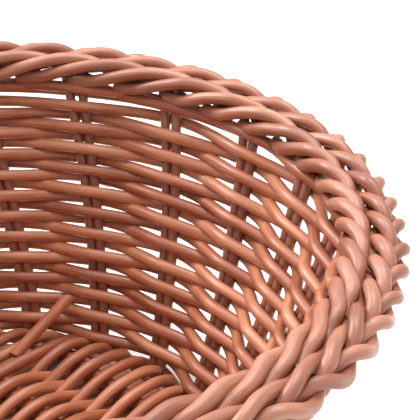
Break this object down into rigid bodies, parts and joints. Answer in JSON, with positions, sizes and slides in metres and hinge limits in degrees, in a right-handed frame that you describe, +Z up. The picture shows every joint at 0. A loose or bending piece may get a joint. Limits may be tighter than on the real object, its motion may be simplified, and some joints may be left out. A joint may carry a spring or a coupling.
{
  "type": "bread basket",
  "caption": "Round flared bread basket of buff willow: spiral weave over doubled stakes, plaited border and a woven stick mat as its base.",
  "frame": {"origin": "centre of the underside, on the surface that the basket stands on", "axes": "+Z up through the mouth, along the axis of the round wall; X and Y lie in the table"},
  "size_m": [0.2626, 0.2624, 0.1173],
  "materials": {
    "willow_weaver": "buff willow, satin with fine grain along the rod",
    "willow_stake": "buff willow, matt, darker than the weavers",
    "willow_border": "buff willow, satin, paler where it is worn",
    "willow_strand": "buff willow, satin with fine grain",
    "willow_stick": "buff willow, matt",
    "willow_wale": "buff willow, satin"
  },
  "bodies": {
    "root": {"foot_wale": "willow_wale", "base_strands": "willow_strand", "loose_strand": "willow_strand", "base_stick_1": "willow_stick", "base_stick_2": "willow_stick", "base_stick_3": "willow_stick", "base_stick_4": "willow_stick", "base_stick_5": "willow_stick", "stake_pair_01": "willow_stake", "stake_pair_02": "willow_stake", "stake_pair_03": "willow_stake", "stake_pair_04": "willow_stake", "stake_pair_05": "willow_stake", "stake_pair_06": "willow_stake", "stake_pair_07": "willow_stake", "stake_pair_08": "willow_stake", "stake_pair_09": "willow_stake", "stake_pair_10": "willow_stake", "stake_pair_11": "willow_stake", "stake_pair_12": "willow_stake", "stake_pair_13": "willow_stake", "stake_pair_14": "willow_stake", "stake_pair_15": "willow_stake", "stake_pair_16": "willow_stake", "stake_pair_17": "willow_stake", "stake_pair_18": "willow_stake", "stake_pair_19": "willow_stake", "stake_pair_20": "willow_stake", "stake_pair_21": "willow_stake", "stake_pair_22": "willow_stake", "stake_pair_23": "willow_stake", "weaver_01": "willow_weaver", "weaver_02": "willow_weaver", "weaver_03": "willow_weaver", "weaver_04": "willow_weaver", "weaver_05": "willow_weaver", "weaver_06": "willow_weaver", "weaver_07": "willow_weaver", "weaver_08": "willow_weaver", "weaver_09": "willow_weaver", "weaver_10": "willow_weaver", "weaver_11": "willow_weaver", "weaver_12": "willow_weaver", "weaver_13": "willow_weaver", "weaver_14": "willow_weaver", "weaver_15": "willow_weaver", "weaver_16": "willow_weaver", "weaver_17": "willow_weaver", "weaver_18": "willow_weaver", "weaver_19": "willow_weaver", "weaver_20": "willow_weaver", "border_rods_1": "willow_border", "border_rods_2": "willow_border", "border_rods_3": "willow_border", "border_rods_4": "willow_border", "border_rods_5": "willow_border"}
  },
  "joints": []
}
